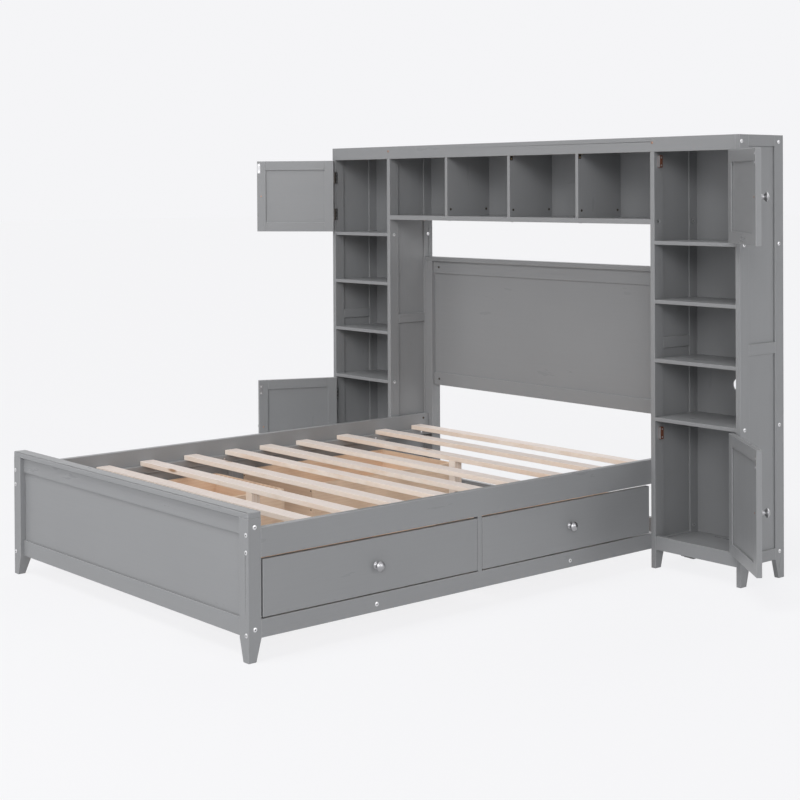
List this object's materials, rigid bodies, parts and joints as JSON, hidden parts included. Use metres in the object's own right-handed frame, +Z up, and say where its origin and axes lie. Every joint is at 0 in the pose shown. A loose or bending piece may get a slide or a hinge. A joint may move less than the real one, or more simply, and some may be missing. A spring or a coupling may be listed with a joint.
{
  "type": "storage bed with bookcase headboard",
  "caption": "Slatted wooden bed frame with under-bed drawers, a panelled footboard and headboard, and two bookcase towers with cupboard doors joined by a bridge shelf.",
  "frame": {"origin": "on the floor, at the centre of the footprint with the doors as drawn", "axes": "+Z up; +Y from the footboard towards the towers; +X to the right of somebody standing at the foot end and facing the towers"},
  "size_m": [2.7388, 1.976, 1.524],
  "materials": {
    "paint": "satin grey paint",
    "inner_paint": "satin grey paint",
    "pine": "planed, unfinished",
    "drawer_wood": "unfinished plywood",
    "steel": "satin nickel and zinc plate",
    "dark_metal": "dark bronze",
    "catch": "brown",
    "black": "matt black"
  },
  "bodies": {
    "frame": {"foot_posts": "paint", "footboard_cap": "paint", "footboard_rails": "paint", "footboard_panel": "paint", "head_posts": "paint", "headboard_cap": "paint", "headboard_rails": "paint", "headboard_panel": "paint", "side_rails": "paint", "low_side_rails": "paint", "drawer_stiles": "paint", "slat_ledgers": "paint", "cross_bearers": "pine", "slats": "pine", "centre_legs": "pine", "tower_outer_sides": "paint", "tower_inner_sides": "paint", "tower_side_panels": "paint", "tower_shelves": "inner_paint", "tower_aprons": "paint", "tower_backs": "inner_paint", "right_tower_back": "inner_paint", "top_boards": "inner_paint", "fascia": "paint", "bridge_board": "inner_paint", "bridge_dividers": "inner_paint", "bolts": "steel", "barrel_nuts": "steel", "divider_brackets": "dark_metal", "door_catches": "catch", "hinge_leaves": "dark_metal", "apron_block": "black"},
    "upper_right_door": {"upper_right_door_frame": "paint", "upper_right_door_panel": "paint", "upper_right_door_knob": "steel", "upper_right_door_fittings": "dark_metal"},
    "lower_right_door": {"lower_right_door_frame": "paint", "lower_right_door_panel": "paint", "lower_right_door_knob": "steel", "lower_right_door_fittings": "dark_metal"},
    "upper_left_door": {"upper_left_door_frame": "paint", "upper_left_door_panel": "paint", "upper_left_door_knob": "steel", "upper_left_door_fittings": "dark_metal"},
    "lower_left_door": {"lower_left_door_frame": "paint", "lower_left_door_panel": "paint", "lower_left_door_knob": "steel", "lower_left_door_fittings": "dark_metal"},
    "right_foot_drawer": {"right_foot_drawer_front": "paint", "right_foot_drawer_box": "drawer_wood", "right_foot_drawer_knob": "steel"},
    "right_head_drawer": {"right_head_drawer_front": "paint", "right_head_drawer_box": "drawer_wood", "right_head_drawer_knob": "steel"},
    "left_foot_drawer": {"left_foot_drawer_front": "paint", "left_foot_drawer_box": "drawer_wood", "left_foot_drawer_knob": "steel"},
    "left_head_drawer": {"left_head_drawer_front": "paint", "left_head_drawer_box": "drawer_wood", "left_head_drawer_knob": "steel"}
  },
  "joints": [
    {"name": "upper_right_door_hinge", "type": "hinge", "parent": "frame", "child": "upper_right_door", "pos_m": [1.0855, 0.7425, 1.315], "axis": [0, 0, 1], "range_deg": [-142, 8]},
    {"name": "lower_right_door_hinge", "type": "hinge", "parent": "frame", "child": "lower_right_door", "pos_m": [1.0855, 0.7425, 0.3185], "axis": [0, 0, 1], "range_deg": [-142, 8]},
    {"name": "upper_left_door_hinge", "type": "hinge", "parent": "frame", "child": "upper_left_door", "pos_m": [-1.0855, 0.7425, 1.315], "axis": [0, 0, -1], "range_deg": [-142, 8]},
    {"name": "lower_left_door_hinge", "type": "hinge", "parent": "frame", "child": "lower_left_door", "pos_m": [-1.0855, 0.7425, 0.3185], "axis": [0, 0, -1], "range_deg": [-113, 37]},
    {"name": "right_foot_drawer_slide", "type": "slide", "parent": "frame", "child": "right_foot_drawer", "axis": [1, 0, 0], "range_m": [0, 0.33]},
    {"name": "right_head_drawer_slide", "type": "slide", "parent": "frame", "child": "right_head_drawer", "axis": [1, 0, 0], "range_m": [0, 0.33]},
    {"name": "left_foot_drawer_slide", "type": "slide", "parent": "frame", "child": "left_foot_drawer", "axis": [-1, 0, 0], "range_m": [0, 0.33]},
    {"name": "left_head_drawer_slide", "type": "slide", "parent": "frame", "child": "left_head_drawer", "axis": [-1, 0, 0], "range_m": [0, 0.33]}
  ]
}
